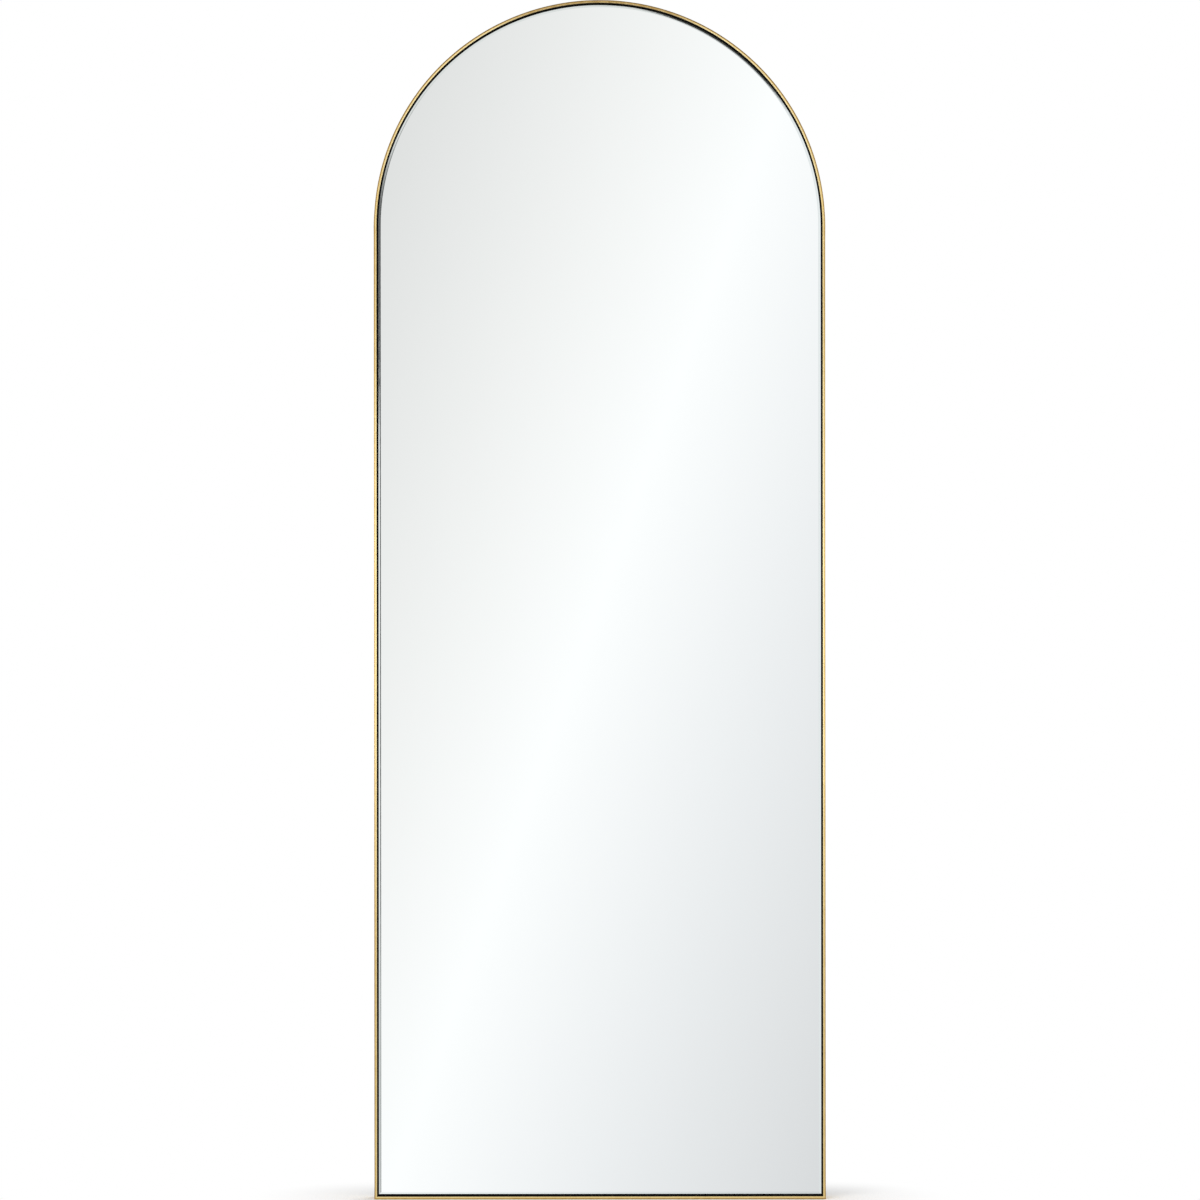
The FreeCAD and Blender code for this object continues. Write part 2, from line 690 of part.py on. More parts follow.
os.makedirs("parts", exist_ok=True)
for node in nodes:
    node.Shape.exportStep(f"parts/{node.Label}.step")
    box = node.Shape.BoundBox
    print(f"{node.Label}: {len(node.Shape.Solids)} solid(s), {node.Shape.Volume:.1f} mm3,"
          f" {box.XLength:.2f} x {box.YLength:.2f} x {box.ZLength:.2f} mm")
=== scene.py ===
import json
import math
import random

import bmesh
import bpy
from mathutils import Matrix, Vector, noise


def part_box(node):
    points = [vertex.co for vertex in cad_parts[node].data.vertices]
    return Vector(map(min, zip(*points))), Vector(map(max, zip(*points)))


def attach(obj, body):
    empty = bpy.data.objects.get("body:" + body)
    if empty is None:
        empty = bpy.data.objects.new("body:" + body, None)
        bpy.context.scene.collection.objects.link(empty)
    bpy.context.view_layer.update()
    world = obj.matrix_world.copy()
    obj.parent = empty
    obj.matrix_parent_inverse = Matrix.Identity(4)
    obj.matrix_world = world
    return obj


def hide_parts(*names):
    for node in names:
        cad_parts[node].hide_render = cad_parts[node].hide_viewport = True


# Arched full-length mirror: the looks of its frame, glass, board and fixings, in metres and the part's frame
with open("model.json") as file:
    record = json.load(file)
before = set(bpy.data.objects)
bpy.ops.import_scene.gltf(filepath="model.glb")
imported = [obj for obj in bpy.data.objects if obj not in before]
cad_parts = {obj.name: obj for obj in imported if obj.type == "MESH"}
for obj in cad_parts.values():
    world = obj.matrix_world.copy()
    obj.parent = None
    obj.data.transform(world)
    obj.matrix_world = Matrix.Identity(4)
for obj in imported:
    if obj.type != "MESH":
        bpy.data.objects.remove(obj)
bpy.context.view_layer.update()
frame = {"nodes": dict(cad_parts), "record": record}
nodes = frame["nodes"]
scene = bpy.context.scene
BODY = "mirror"
MM = 0.001

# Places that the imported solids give
stile_low, stile_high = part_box("frame_right_stile")
glass_low, glass_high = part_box("mirror_glass")
WALL = stile_low.x
HALF_WIDTH = stile_high.x
FACE = HALF_WIDTH - WALL
FRONT = stile_low.y
BACK = stile_high.y
SPRING = stile_high.z
HEIGHT = SPRING + HALF_WIDTH

# Bar section and its hand-worked surface
FRONT_EDGE_RADIUS = 1.6 * MM
BAR_EDGE_RADIUS = 0.5 * MM
INNER_FRONT_STEPS = 5
OUTER_FRONT_STEPS = 10
BACK_EDGE_STEPS = 4
FACE_SHARES = (0.08, 0.5, 0.92)
WALL_SHARES = (0.02, 0.2, 0.4, 0.6, 0.8, 0.98)
BACK_SHARES = (0.1, 0.5, 0.9)
STATION_STEP = 6 * MM
LONG_WAVE = 0.35 * MM
LONG_WAVE_LENGTH = 0.45
HAMMER = 0.07 * MM
HAMMER_LENGTH = 9 * MM
WAVE_ROW = 0.5
HAMMER_STRIDE = 7.3
END_FADE = 20 * MM
DENT_DEPTH = 0.45 * MM
DENT_REACH = 2.2 * MM
DENT_SPACING = 0.34
DENT_SHARES = (0.15, 0.85)
DENT_STEPS = 4

# Glass edge: two ground facets, from the edge inwards
ARRIS_WIDTH = 3.2 * MM
ARRIS_DROP = 0.27 * MM
INNER_FACET_WIDTH = 1.25 * MM
INNER_FACET_DROP = 0.0625 * MM
BACK_SEAM = 0.4 * MM
OUTLINE_STEPS = 96
SILVER, ARRIS, CUT_EDGE, BACK_PAINT = range(4)

# Screw heads
HEAD_HEIGHT = 2.6 * MM
HEAD_RIM = 0.7 * MM
SHANK_RADIUS = 1.6 * MM
TIP_LENGTH = 2.4 * MM
CROSS_REACH = 2.3 * MM
CROSS_HALF_WIDTH = 0.55 * MM
CROSS_DEPTH = 1.9 * MM
CROSS_TAPER = 0.9
CROSS_FLOOR_RISE = 0.25
LEAST_COSINE = 1e-9
HEAD_RING_SHARES = (0.94, 0.84, 0.72, 0.64)
FIRST_SCREW_SEED = 11
SAME_POINT = 0.005 * MM

# Weld beads
BEAD_LENGTH = 17 * MM
BEAD_RADIUS = 2.2 * MM
BEAD_RIPPLE = 0.28 * MM
BEAD_PITCH = 1.5 * MM
BEAD_STEPS = 68
BEAD_SIDES = 8
BEAD_END_POWER = 8
BEAD_END_LEAST = 0.02
BEAD_FLAT = 0.86
BEAD_ROUND = 0.14

# Gold leaf, measured along the bar and round its section from the inner front edge
LEAF_LENGTH = 82 * MM
LEAF_REACH = 0.24 * MM
LEAF_END = 36.6 * MM
ARCH_LAP = 0.5 * MM
# How far the painted shade on the outer edge reaches further in on the arch
ARCH_SHADE_REACH = 0.6 * MM
ARCH_FADE = 100 * MM
# How far down from the top the painted shade on the crown of the arch reaches
CROWN_SHADE_DROP = 40 * MM
# Heights of a band of painted light on the gilding: a paler front and less glaze there
PAINTED_LIGHT_LOW = 0.42
PAINTED_LIGHT_HIGH = 1.12
PAINTED_LIGHT_FADE = 0.2

# Photograph: 1200 pixels square, with the object's edges in pixels
PHOTO_SIZE = 1200
PHOTO_TOP = -0.33
PHOTO_BOTTOM = 1199.3
PHOTO_MIDDLE = 599.75
PHOTO_ROLL = 0.04
CAMERA_DISTANCE = 6.0
SENSOR = 36.0

# Floor and lights
PALE_START = 0.02
PALE_REACH = 0.18
FLOOR_RADIUS = 1.6
FLOOR_SEGMENTS = 96
FLOOR_GRAIN = 0.05
EVEN_LEVEL = 0.72
SOFT_EDGE = 0.35
LAMP_SIZE = 1.8
LAMP_WATTS = 36
LAMP_TARGET = (0, 0, 0.8)
LAMPS = {"key": (-1.9, -2.8, 2.6), "back_fill": (1.7, 2.8, 2.4)}
# Soft panels: name, centre, the point that it faces, width, height, strength
SOFTBOXES = (
    ("left_softbox", (-0.52, -0.92, 0.79), (-0.30, 0.0, 0.79), 0.5, 0.76, 1.7),
    ("left_edge_softbox", (-1.05, -0.55, 0.79), (-0.305, 0.0, 0.79), 0.6, 0.74, 3.0),
    ("right_softbox", (0.52, -0.92, 0.77), (0.30, 0.0, 0.77), 0.5, 0.84, 1.8),
    ("upper_left_softbox", (-0.22, -0.92, 1.58), (-0.22, 0.0, 1.52), 0.3, 0.3, 2.0),
    ("upper_right_softbox", (0.22, -0.92, 1.56), (0.22, 0.0, 1.50), 0.3, 0.3, 2.0),
)

# The studio that shiny surfaces see, by direction: x to the right, y to the back, z up.
# An edge is where a region fades in or out. Tones are the levels at the two ends of a fall.
# Widths and heights are two limits and the softness of their edges.
SLANT = 0.357
BAND_LOWEST = -0.14
BAND_PEAK = 1.035
BAND_FALL = 3.15
TENT_LEVEL = 0.56
WARM_TO_COOL = (-0.05, 0.06)
AHEAD_EDGE = (-0.7, -0.3)
RIGHT_WALL_EDGE = (0.09, 0.17)
RIGHT_WALL_FALL = (-0.34, -0.13)
RIGHT_WALL_TONES = (0.70, 0.95)
SIDE_WALL_EDGE = (0.31, 0.40)
SIDE_WALL_MIDDLE = 0.56
SIDE_WALL_FALL = (0.0, 0.42)
SIDE_WALL_TONES = (0.97, 0.74)
FLOOR_EDGE = (-0.48, -0.40)
FLOOR_FALL = (-0.80, -0.46)
FLOOR_TONES = (0.98, 0.74)
UPPER_LEFT_EDGE = (0.155, 0.19)
UPPER_LEFT_SIDE = (-0.02, 0.03)
UPPER_LEFT_TONE = 0.82
FLOOR_TO_UPPER = (-0.3, 0.0)
LEFT_HEIGHTS = (-0.26, 0.135, 0.04)
LEFT_WALL_WIDTHS = (-0.34, -0.205, 0.02)
LEFT_WALL_FALL = (-0.105, -0.055)
LEFT_WALL_TONES = (0.68, 0.95)
LEFT_PATCH_EDGE = (0.036, 0.048)
LEFT_PATCH_TONE = 0.13
STRIP_WIDTHS = (-0.185, -0.13, 0.014)
STRIP_FALL = (-0.09, -0.064)
STRIP_TONES = (0.40, 0.06)
CARD_MIDDLE = (0.135, 0.28)
CARD_EDGE = (0.065, 0.115)
CARD_TONE = 0.05
BEHIND_LEAN = 0.5
BEHIND_EDGE = (-0.1, 0.35)
BEHIND_FALL = (-0.5, 0.45)
BEHIND_TONES = (0.42, 1.05)
OVERHEAD_EDGE = (0.40, 0.62)
OVERHEAD_TONE = 0.36

# Sockets of a Mix node
MIX_FACTOR, MIX_VALUE_1, MIX_VALUE_2, MIX_COLOUR_1, MIX_COLOUR_2 = 0, 2, 3, 6, 7
MIX_VALUE_OUT, MIX_COLOUR_OUT = 0, 2


class Graph:
    """A node tree in the making: each call adds a node and gives its output."""

    def __init__(self, tree):
        self.tree = tree
        self.tree.nodes.clear()

    def node(self, kind, inputs=None, **settings):
        made = self.tree.nodes.new(kind)
        for name, setting in settings.items():
            setattr(made, name, setting)
        for key, given in (inputs or {}).items():
            if isinstance(given, bpy.types.NodeSocket):
                self.tree.links.new(given, made.inputs[key])
            else:
                made.inputs[key].default_value = given
        return made

    def place(self):
        """The surface point in the object's own metres."""
        return self.node("ShaderNodeTexCoord").outputs["Object"]

    def split(self, vector):
        return self.node("ShaderNodeSeparateXYZ", {0: vector}).outputs

    def math(self, operation, *values):
        inputs = dict(enumerate(values))
        return self.node("ShaderNodeMath", inputs, operation=operation).outputs[0]

    def times(self, first, second):
        return self.math("MULTIPLY", first, second)

    def length(self, first, second):
        """The long side over two short sides at a right angle."""
        squares = [self.math("POWER", side, 2.0) for side in (first, second)]
        return self.math("SQRT", self.math("ADD", *squares))

    def swing(self, value, reach):
        """A value from 0 to 1 as a distance to both sides of 0, over a reach in all."""
        return self.times(self.math("SUBTRACT", value, 0.5), reach)

    def scale(self, vector, factors):
        inputs = {0: vector, 1: factors}
        return self.node("ShaderNodeVectorMath", inputs, operation="MULTIPLY").outputs[0]

    def ease(self, value, low, high, at_low=0.0, at_high=1.0):
        """A smooth step from one value to another between two limits."""
        inputs = {"Value": value, "From Min": low, "From Max": high, "To Min": at_low, "To Max": at_high}
        return self.node("ShaderNodeMapRange", inputs, interpolation_type="SMOOTHSTEP").outputs[0]

    def band(self, value, low, high, soft):
        """1 between two limits, 0 outside them, with a soft edge at both."""
        rise = self.ease(value, low - soft, low + soft)
        fall = self.ease(value, high - soft, high + soft, 1.0, 0.0)
        return self.times(rise, fall)

    def noise(self, vector, size, detail=3.0, roughness=0.55, distortion=0.0):
        """Noise from 0 to 1 with features of about a size in metres."""
        inputs = {"Vector": vector, "Scale": 1 / size, "Detail": detail, "Roughness": roughness,
                  "Distortion": distortion}
        return self.node("ShaderNodeTexNoise", inputs).outputs[0]

    def cells(self, vector, size):
        """The distance to the nearest of scattered points, in cells of about a size in metres."""
        return self.node("ShaderNodeTexVoronoi", {"Vector": vector, "Scale": 1 / size}).outputs["Distance"]

    def chance(self, value):
        """A random number from 0 to 1 for each value."""
        return self.node("ShaderNodeTexWhiteNoise", {"W": value}, noise_dimensions="1D").outputs["Value"]

    def blend(self, factor, first, second):
        inputs = {MIX_FACTOR: factor, MIX_VALUE_1: first, MIX_VALUE_2: second}
        return self.node("ShaderNodeMix", inputs).outputs[MIX_VALUE_OUT]

    def mix(self, factor, first, second):
        inputs = {MIX_FACTOR: factor, MIX_COLOUR_1: first, MIX_COLOUR_2: second}
        return self.node("ShaderNodeMix", inputs, data_type="RGBA").outputs[MIX_COLOUR_OUT]

    def bump(self, height, distance, strength=1.0, below=None):
        inputs = {"Height": height, "Distance": distance, "Strength": strength}
        if below is not None:
            inputs["Normal"] = below
        return self.node("ShaderNodeBump", inputs).outputs[0]

    def surface(self, **sockets):
        """The shader at the end, with its sockets given by name."""
        inputs = {name.replace("_", " "): given for name, given in sockets.items()}
        shader = self.node("ShaderNodeBsdfPrincipled", inputs)
        self.output(shader)

    def output(self, shader, kind="ShaderNodeOutputMaterial"):
        self.node(kind, {"Surface": shader.outputs[0]})


def new_material(name):
    material = bpy.data.materials.new(name)
    material.use_nodes = True
    return material, Graph(material.node_tree)


def colour(red, green, blue):
    return (red, green, blue, 1.0)


# Finishes
def make_gold_leaf():
    """Leaf in squares along the bar, toned brown on the outer edge, over black on the inside and back, with
    painted highlight on the burnished front and painted shade on the outer edge and crown.
    """
    deep_gold, bright_gold = colour(0.80, 0.545, 0.175), colour(0.89, 0.645, 0.24)
    burnished_highlight, double_leaf = colour(0.97, 0.82, 0.47), colour(0.97, 0.76, 0.34)
    brown_glaze_and_shade, bare_clay = colour(0.37, 0.215, 0.055), colour(0.11, 0.052, 0.026)
    black, worn_black = colour(0.0065, 0.006, 0.0055), colour(0.016, 0.0145, 0.0125)
    black_roughness = 0.8
    leaf_edge, back_edge = 0.05 * MM, 0.1 * MM

    material, g = new_material("gold_leaf")
    uv = g.node("ShaderNodeUVMap", uv_map="bar").outputs[0]
    along, around, _ = g.split(uv)
    place = g.place()
    height = g.split(place)[2]
    cloud = g.noise(place, 60 * MM, detail=3)
    mottle = g.noise(place, 7 * MM, detail=5, roughness=0.62)
    # Painted light: a band at middle height where the gilding is drawn brighter
    painted_light_band = g.band(height, PAINTED_LIGHT_LOW, PAINTED_LIGHT_HIGH, PAINTED_LIGHT_FADE)
    arch = g.ease(height, SPRING, SPRING + ARCH_FADE)

    # Where the leaf covers the black: on the arch it laps further over the inner edge
    ragged = g.swing(g.noise(place, 2.5 * MM, detail=4), 1.6 * MM)
    drift = g.swing(g.noise(place, 160 * MM, detail=2), 0.7 * MM)
    inner_edge = g.math("ADD", drift, g.math("MULTIPLY_ADD", ragged, 0.1, around))
    inner_edge = g.math("MULTIPLY_ADD", arch, ARCH_LAP, inner_edge)
    covered_front = g.ease(inner_edge, LEAF_REACH - leaf_edge, LEAF_REACH + leaf_edge)
    outer_end = g.math("ADD", around, ragged)
    covered_back = g.ease(outer_end, LEAF_END - back_edge, LEAF_END + back_edge, 1.0, 0.0)
    covered = g.times(covered_front, covered_back)

    # Squares of leaf, each of its own tone, with a lap where two meet
    wobble = g.swing(g.noise(place, 14 * MM), 7 * MM)
    leaf_place = g.math("DIVIDE", g.math("ADD", along, wobble), LEAF_LENGTH)
    leaf_tone = g.chance(g.math("FLOOR", leaf_place))
    from_seam = g.math("PINGPONG", leaf_place, 0.5)
    lap = g.ease(from_seam, 0.0, 0.035, 1.0, 0.0)
    lap_line = g.ease(from_seam, 0.0, 0.006, 1.0, 0.0)
    tone = g.math("MULTIPLY_ADD", leaf_tone, 0.34, g.times(cloud, 0.66))
    leaf = g.mix(g.ease(tone, 0.25, 0.75), deep_gold, bright_gold)

    # The burnished front as painted highlight: paler leaf, brightest in a painted band of light at middle
    # height and along the inner edge of the arch
    front = g.band(around, 0.2 * MM, 1.8 * MM, 0.5 * MM)
    inner_highlight_line = g.times(g.band(around, -0.3 * MM, 1.0 * MM, 0.3 * MM), arch)
    painted_light_front = g.math("MULTIPLY_ADD", painted_light_band, 0.42, 0.58)
    burnish_highlight = g.math("MAXIMUM", g.times(front, painted_light_front), inner_highlight_line)
    burnish_highlight = g.times(burnish_highlight, g.ease(mottle, 0.3, 0.65, 0.7, 1.0))
    leaf = g.mix(burnish_highlight, leaf, burnished_highlight)
    leaf = g.mix(g.times(lap, 0.35), leaf, double_leaf)

    # Brown glaze on the outer edge, partly painted shade and less of it in the painted band of light, on the
    # sides and the seams, and painted shade on the crown of the arch
    edge_place = g.math("MULTIPLY_ADD", arch, ARCH_SHADE_REACH, around)
    edge_band = g.band(edge_place, 2.6 * MM, 6.5 * MM, 0.6 * MM)
    edge_glaze_and_shade = g.times(edge_band, g.math("MULTIPLY_ADD", painted_light_band, -0.6, 1.0))
    side_tone = g.times(g.ease(around, 5 * MM, 9 * MM), g.ease(cloud, 0.35, 0.7, 0.1, 0.55))
    # Painted shade: the top of the arch drawn darker
    crown = g.ease(height, HEIGHT - CROWN_SHADE_DROP, HEIGHT - 0.3 * CROWN_SHADE_DROP)
    glaze_and_shade = g.math("MAXIMUM", g.times(edge_glaze_and_shade, g.ease(mottle, 0.2, 0.75, 0.98, 0.6)),
                   g.times(side_tone, g.ease(mottle, 0.3, 0.7, 1.0, 0.3)))
    glaze_and_shade = g.math("MAXIMUM", glaze_and_shade, g.times(lap_line, 0.45))
    glaze_and_shade = g.math("MAXIMUM", glaze_and_shade, g.times(crown, g.ease(mottle, 0.25, 0.7, 0.85, 0.5)))
    leaf = g.mix(glaze_and_shade, leaf, brown_glaze_and_shade)

    # Wear down to the clay
    rubbed_edge = g.band(around, 2.4 * MM, 4.6 * MM, 0.4 * MM)
    rubbed = g.times(rubbed_edge, g.ease(g.noise(place, 3.2 * MM, detail=6, roughness=0.7), 0.66, 0.72))
    specks = g.ease(g.noise(place, 1.7 * MM, detail=2, roughness=0.5), 0.76, 0.80)
    worn = g.math("MAXIMUM", rubbed, specks)
    leaf = g.mix(worn, leaf, bare_clay)

    ground = g.mix(g.noise(place, 4 * MM, detail=4), black, worn_black)
    metal = g.times(covered, g.math("SUBTRACT", 1.0, g.times(worn, 0.75)))
    shine = g.math("MULTIPLY_ADD", glaze_and_shade, 0.12, g.ease(mottle, 0.2, 0.8, 0.33, 0.47))
    roughness = g.blend(covered, black_roughness, shine)

    wrinkle = g.noise(g.scale(place, (1.0, 1.0, 0.6)), 4.5 * MM, detail=4, roughness=0.6, distortion=0.6)
    grain = g.noise(place, 0.9 * MM, detail=3)
    normal = g.bump(grain, 0.03 * MM, 0.5)
    normal = g.bump(wrinkle, 0.08 * MM, 0.6, normal)
    normal = g.bump(lap, 0.04 * MM, 0.8, normal)
    g.surface(Base_Color=g.mix(covered, ground, leaf), Metallic=metal, Roughness=roughness, Normal=normal,
              Specular_IOR_Level=0.1, Specular_Tint=colour(1.0, 0.84, 0.55))
    return material


def make_silver():
    """The silvered face, with the faint wipe marks that a clean mirror still has."""
    silver, wiped = colour(0.955, 0.972, 0.964), colour(0.963, 0.976, 0.970)
    material, g = new_material("silvered_glass")
    strokes = g.scale(g.place(), (1.0, 1.0, 0.25))
    wipe = g.noise(strokes, 60 * MM, detail=4, roughness=0.6, distortion=1.2)
    g.surface(Base_Color=g.mix(wipe, silver, wiped), Metallic=1.0,
              Roughness=g.ease(wipe, 0.45, 0.8, 0.0, 0.012))
    return material


def make_arris():
    """The ground and polished facets round the glass."""
    ground, polished = colour(0.82, 0.87, 0.85), colour(0.90, 0.93, 0.92)
    material, g = new_material("ground_arris")
    streak = g.noise(g.scale(g.place(), (1.0, 1.0, 0.06)), 0.6 * MM, detail=3)
    g.surface(Base_Color=g.mix(streak, ground, polished), Metallic=1.0,
              Roughness=g.ease(streak, 0.3, 0.7, 0.03, 0.10))
    return material


def make_glass_edge():
    """The cut edge of the sheet, dark green, with the marks of the wheel."""
    deep_green, pale_green = colour(0.018, 0.060, 0.046), colour(0.045, 0.115, 0.092)
    material, g = new_material("glass_edge")
    wheel = g.noise(g.scale(g.place(), (0.3, 4.0, 0.3)), 1.2 * MM, detail=3)
    g.surface(Base_Color=g.mix(wheel, deep_green, pale_green), Roughness=g.ease(wheel, 0.2, 0.8, 0.18, 0.4),
              IOR=1.52, Normal=g.bump(wheel, 0.05 * MM))
    return material


def make_back_paint():
    """The grey paint that seals the silver."""
    grey, pale_grey = colour(0.155, 0.170, 0.172), colour(0.205, 0.220, 0.220)
    material, g = new_material("mirror_back_paint")
    place = g.place()
    curtain = g.noise(g.scale(place, (6.0, 1.0, 0.5)), 40 * MM, detail=4)
    g.surface(Base_Color=g.mix(curtain, grey, pale_grey), Roughness=g.ease(curtain, 0.2, 0.8, 0.4, 0.55),
              Normal=g.bump(g.noise(place, 2 * MM), 0.05 * MM))
    return material


def make_board():
    """Fibreboard under a coat of matt black, with the roller's laps, its fibres and a few rubbed marks."""
    black, fibre_black = colour(0.009, 0.0088, 0.0085), colour(0.019, 0.0183, 0.0175)
    thin_coat = colour(0.036, 0.0345, 0.0325)
    faded, scuff_grey = colour(0.030, 0.0285, 0.027), colour(0.105, 0.098, 0.088)
    bare_fibre = colour(0.10, 0.085, 0.065)
    material, g = new_material("black_board")
    place = g.place()
    peel = g.noise(place, 1.6 * MM, detail=3, roughness=0.5)
    fibre = g.noise(g.scale(place, (1.0, 1.0, 5.0)), 5 * MM, detail=5, roughness=0.65, distortion=0.8)
    cloud = g.noise(place, 160 * MM, detail=4, roughness=0.6)
    laps = g.noise(g.scale(place, (1.0, 1.0, 0.05)), 45 * MM, detail=3, roughness=0.5)
    rolled = g.ease(laps, 0.42, 0.64)
    scuff = g.noise(g.scale(place, (1.0, 1.0, 9.0)), 50 * MM, detail=6, roughness=0.72)
    scuffed = g.times(g.ease(scuff, 0.66, 0.74), g.ease(cloud, 0.45, 0.6))
    flecks = g.ease(g.noise(place, 0.8 * MM, detail=1), 0.74, 0.8)
    tint = g.mix(g.ease(fibre, 0.35, 0.75), black, fibre_black)
    tint = g.mix(g.times(rolled, 0.28), tint, thin_coat)
    tint = g.mix(g.ease(cloud, 0.4, 0.75, 0.0, 0.45), tint, faded)
    tint = g.mix(g.times(scuffed, 0.6), tint, scuff_grey)
    tint = g.mix(g.times(flecks, 0.5), tint, bare_fibre)
    normal = g.bump(fibre, 0.08 * MM, 0.5, g.bump(peel, 0.10 * MM, 0.7))
    shine = g.math("MULTIPLY_ADD", rolled, -0.07, g.ease(cloud, 0.3, 0.7, 0.48, 0.66))
    g.surface(Base_Color=tint, Roughness=shine, Normal=normal, Specular_IOR_Level=0.35)
    return material


def make_tape_foam():
    """Closed-cell foam tape."""
    wall, hollow = colour(0.80, 0.80, 0.78), colour(0.62, 0.62, 0.60)
    material, g = new_material("foam_tape")
    cell = g.cells(g.place(), 0.7 * MM)
    g.surface(Base_Color=g.mix(cell, wall, hollow), Roughness=g.ease(cell, 0.0, 0.6, 0.75, 0.9),
              Normal=g.bump(cell, 0.15 * MM))
    return material


def make_black_steel():
    """Satin black paint on mill steel, thin at the corners."""
    black, thin_black = colour(0.014, 0.014, 0.0145), colour(0.030, 0.029, 0.028)
    chipped = colour(0.19, 0.17, 0.15)
    material, g = new_material("black_steel")
    place = g.place()
    mill = g.noise(place, 6 * MM, detail=4)
    peel = g.noise(place, 0.8 * MM, detail=2)
    chip = g.ease(g.noise(place, 2.4 * MM, detail=5, roughness=0.7), 0.70, 0.76)
    tint = g.mix(chip, g.mix(mill, black, thin_black), chipped)
    g.surface(Base_Color=tint, Metallic=g.times(chip, 0.8), Roughness=g.ease(mill, 0.3, 0.7, 0.34, 0.52),
              Normal=g.bump(peel, 0.06 * MM, 0.7))
    return material


def make_plated(name, dark, light, tarnish, along):
    """Zinc plate with draw marks along the piece, drifts of colour and handling scratches."""
    material, g = new_material(name)
    place = g.place()
    drawn = g.noise(g.scale(place, along), 0.5 * MM, detail=4)
    drift = g.noise(place, 9 * MM, detail=3)
    lines = g.noise(g.scale(place, (1.0, 1.0, 14.0)), 4 * MM, detail=6, roughness=0.75)
    scratch = g.ease(lines, 0.63, 0.68)
    tint = g.mix(drawn, dark, light)
    tint = g.mix(g.ease(drift, 0.42, 0.72, 0.0, 0.6), tint, tarnish)
    tint = g.mix(g.times(scratch, 0.5), tint, light)
    shine = g.math("MULTIPLY_ADD", scratch, 0.12, g.ease(drift, 0.3, 0.7, 0.24, 0.38))
    g.surface(Base_Color=tint, Metallic=1.0, Roughness=shine, Normal=g.bump(drawn, 0.02 * MM, 0.6))
    return material


def make_rubber():
    """Moulded rubber with a dusty bloom."""
    black, dusty = colour(0.017, 0.017, 0.017), colour(0.052, 0.050, 0.048)
    material, g = new_material("bumper_rubber")
    place = g.place()
    bloom = g.noise(place, 5 * MM, detail=4)
    mould = g.noise(place, 0.5 * MM, detail=2)
    g.surface(Base_Color=g.mix(g.ease(bloom, 0.4, 0.75), black, dusty),
              Roughness=g.ease(bloom, 0.3, 0.7, 0.62, 0.85), Normal=g.bump(mould, 0.06 * MM))
    return material


# Pieces
def new_piece(name, mesh_builder, materials, replaced=(), smooth=True):
    """Turns what a builder leaves in a mesh into a piece that rides on the mirror."""
    work = bmesh.new()
    mesh_builder(work)
    bmesh.ops.recalc_face_normals(work, faces=work.faces)
    mesh = bpy.data.meshes.new(name)
    work.to_mesh(mesh)
    work.free()
    mesh.polygons.foreach_set("use_smooth", [smooth] * len(mesh.polygons))
    piece = bpy.data.objects.new(name, mesh)
    scene.collection.objects.link(piece)
    for material in materials:
        mesh.materials.append(material)
    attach(piece, BODY)
    if replaced:
        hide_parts(*replaced)
    return piece


def arc_points(across, depth, radius, first, steps):
    """A quarter arc of the bar's section, counter-clockwise from an angle in degrees."""
    angles = [math.radians(first + 90 * step / steps) for step in range(steps + 1)]
    return [(across + radius * math.cos(a), depth + radius * math.sin(a)) for a in angles]


def straight_points(first, last, shares):
    """Points at shares of the way along a straight side of the section."""
    return [tuple(a + share * (b - a) for a, b in zip(first, last)) for share in shares]


def bar_section():
    """The bar's section as points across the face and in depth, from the inner front edge round."""
    soft, eased = FRONT_EDGE_RADIUS, BAR_EDGE_RADIUS
    inner_front = arc_points(eased, FRONT + eased, eased, 180, INNER_FRONT_STEPS)
    outer_front = arc_points(FACE - soft, FRONT + soft, soft, 270, OUTER_FRONT_STEPS)
    outer_back = arc_points(FACE - eased, BACK - eased, eased, 0, BACK_EDGE_STEPS)
    inner_back = arc_points(eased, BACK - eased, eased, 90, BACK_EDGE_STEPS)
    corners = [inner_front, outer_front, outer_back, inner_back]
    shares = [FACE_SHARES, WALL_SHARES, BACK_SHARES, WALL_SHARES]
    points = []
    for number, corner in enumerate(corners):
        following = corners[(number + 1) % len(corners)]
        points += corner + straight_points(corner[-1], following[0], shares[number])
    return points, len(inner_front)


def lengths_round(points, first_arc):
    """How far each point lies round the section from the middle of its first arc, and its whole length."""
    steps = [math.dist(points[i], points[(i + 1) % len(points)]) for i in range(len(points))]
    start = -sum(steps[:first_arc - 1]) / 2
    return [start + sum(steps[:i]) for i in range(len(points))], sum(steps)


def stations(length, dents):
    """Places along a bar where its section is drawn: evenly, and closer together at each dent."""
    count = round(length / STATION_STEP)
    places = {round(length * step / count, 6) for step in range(count + 1)}
    for dent in dents:
        steps = range(-DENT_STEPS, DENT_STEPS + 1)
        places |= {round(dent + DENT_REACH * step / DENT_STEPS, 6) for step in steps}
    return sorted(places)


